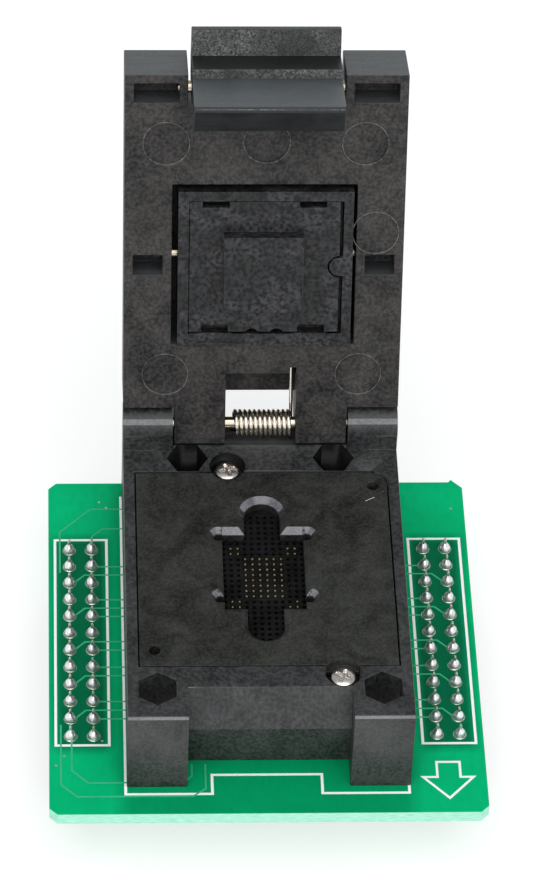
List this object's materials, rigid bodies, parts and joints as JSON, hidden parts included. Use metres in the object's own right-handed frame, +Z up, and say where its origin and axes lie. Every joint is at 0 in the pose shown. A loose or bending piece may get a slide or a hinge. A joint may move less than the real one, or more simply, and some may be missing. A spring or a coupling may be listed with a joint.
{
  "type": "test socket adapter",
  "caption": "Clamshell test socket for a ball-grid memory package on a green adapter board with two double-row header sockets, lid open.",
  "frame": {"origin": "centre of the package seat, on top of the pin plate, with the guide plate at its raised stop", "axes": "+Z up, away from the board; +X to the socket's right seen from the latch side; -Y is the front, where the latch closes; +Y is the hinge side"},
  "size_m": [0.0482, 0.0652, 0.0682],
  "materials": {
    "solder_mask": "green solder mask, satin gloss",
    "header_plastic": "black moulded, matt",
    "socket_plastic": "black glass-filled, fine mottled",
    "guide_plastic": "olive black, smooth satin",
    "pusher_plastic": "black glass-filled, smooth satin",
    "tin": "tin plated",
    "solder": "bright solder",
    "gold_plate": "gold plated",
    "spring_steel": "polished wire",
    "pin_steel": "ground",
    "screw_steel": "plated"
  },
  "bodies": {
    "adapter": {"adapter_board": "solder_mask", "header_left": "header_plastic", "header_right": "header_plastic", "header_contacts_left": "tin", "header_contacts_right": "tin", "solder_left": "solder", "solder_right": "solder", "socket_base": "socket_plastic", "contact_carrier": "guide_plastic", "contact_barrels": "gold_plate", "guide_springs": "spring_steel", "guide_screws": "screw_steel", "mounting_screws": "screw_steel", "mounting_nuts": "screw_steel", "hinge_pin": "pin_steel", "torsion_spring": "spring_steel"},
    "plungers": {"contact_plungers": "gold_plate"},
    "nest": {"pin_plate": "guide_plastic", "guide_plate": "guide_plastic"},
    "lid": {"lid": "socket_plastic", "pusher_pin": "pin_steel", "pusher_springs": "spring_steel", "latch_pin": "pin_steel", "latch_springs": "spring_steel"},
    "pusher": {"pusher_frame": "socket_plastic", "pusher_plate": "pusher_plastic"},
    "latch": {"latch": "socket_plastic"}
  },
  "joints": [
    {"name": "lid_hinge", "type": "hinge", "parent": "adapter", "child": "lid", "pos_m": [0, 0.0205, 0.0038], "axis": [1, 0, 0], "range_deg": [0, 108], "stiffness_Nm_per_rad": 0.01, "springref_deg": -17.19, "deforming": ["torsion_spring"]},
    {"name": "latch_pivot", "type": "hinge", "parent": "lid", "child": "latch", "pos_m": [0, 0.0338, 0.04312], "axis": [-1, 0, 0], "range_deg": [0, 12], "stiffness_Nm_per_rad": 0.006, "springref_deg": -17.19, "deforming": ["latch_springs"]},
    {"name": "pusher_float", "type": "slide", "parent": "lid", "child": "pusher", "axis": [0, 0.9511, -0.309], "range_m": [0, 0.0008], "stiffness_N_per_m": 2000, "springref_m": -0.0005, "deforming": ["pusher_springs"]},
    {"name": "nest_float", "type": "slide", "parent": "adapter", "child": "nest", "axis": [0, 0, -1], "range_m": [0, 0.00035], "stiffness_N_per_m": 1000, "springref_m": -0.0005, "deforming": ["guide_springs"]},
    {"name": "contact_stroke", "type": "slide", "parent": "adapter", "child": "plungers", "axis": [0, 0, -1], "range_m": [0, 0.0003], "stiffness_N_per_m": 3000, "springref_m": -0.0003}
  ]
}
